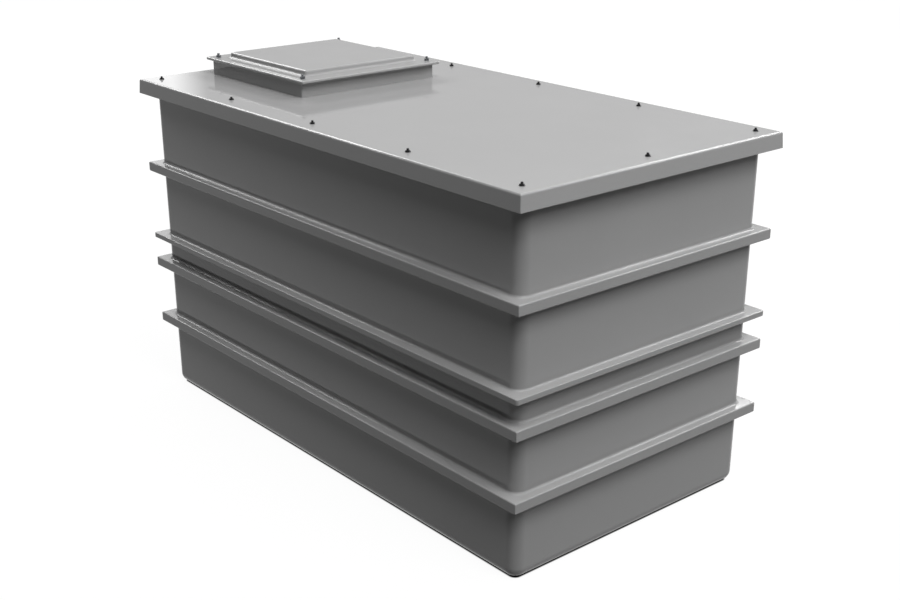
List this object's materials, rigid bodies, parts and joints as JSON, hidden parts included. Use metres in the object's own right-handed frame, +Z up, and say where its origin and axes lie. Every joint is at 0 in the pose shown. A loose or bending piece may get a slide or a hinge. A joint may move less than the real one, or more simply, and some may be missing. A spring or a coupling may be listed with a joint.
{
  "type": "rectangular water storage tank",
  "caption": "Rectangular one-piece water storage tank in reinforced plastic: ribbed shell on a flat base, bolted flat lid with a turned-down lip, and a raised square access hatch.",
  "frame": {"origin": "centre of the tank's flat underside, at floor level", "axes": "+X along the tank's length, away from the hatch end; +Y across it; +Z up"},
  "size_m": [2, 1.08, 1.246],
  "materials": {
    "grp_gelcoat": "glossy grey gelcoat",
    "bolt_steel": "blackened steel",
    "hatch_steel": "plain steel, dulled"
  },
  "bodies": {
    "root": {"tank_body": "grp_gelcoat", "rim_flange": "grp_gelcoat", "lower_rib": "grp_gelcoat", "middle_rib": "grp_gelcoat", "thin_rib": "grp_gelcoat", "upper_rib": "grp_gelcoat", "lid_panel": "grp_gelcoat", "hatch_neck": "grp_gelcoat", "hatch_cover": "grp_gelcoat", "lid_bolt_01": "bolt_steel", "lid_nut_01": "bolt_steel", "lid_bolt_02": "bolt_steel", "lid_nut_02": "bolt_steel", "lid_bolt_03": "bolt_steel", "lid_nut_03": "bolt_steel", "lid_bolt_04": "bolt_steel", "lid_nut_04": "bolt_steel", "lid_bolt_05": "bolt_steel", "lid_nut_05": "bolt_steel", "lid_bolt_06": "bolt_steel", "lid_nut_06": "bolt_steel", "lid_bolt_07": "bolt_steel", "lid_nut_07": "bolt_steel", "lid_bolt_08": "bolt_steel", "lid_nut_08": "bolt_steel", "lid_bolt_09": "bolt_steel", "lid_nut_09": "bolt_steel", "lid_bolt_10": "bolt_steel", "lid_nut_10": "bolt_steel", "lid_bolt_11": "bolt_steel", "lid_nut_11": "bolt_steel", "lid_bolt_12": "bolt_steel", "lid_nut_12": "bolt_steel", "hatch_stud_1": "hatch_steel", "hatch_nut_1": "hatch_steel", "hatch_stud_2": "hatch_steel", "hatch_nut_2": "hatch_steel", "hatch_stud_3": "hatch_steel", "hatch_nut_3": "hatch_steel", "hatch_stud_4": "hatch_steel", "hatch_nut_4": "hatch_steel"}
  },
  "joints": []
}
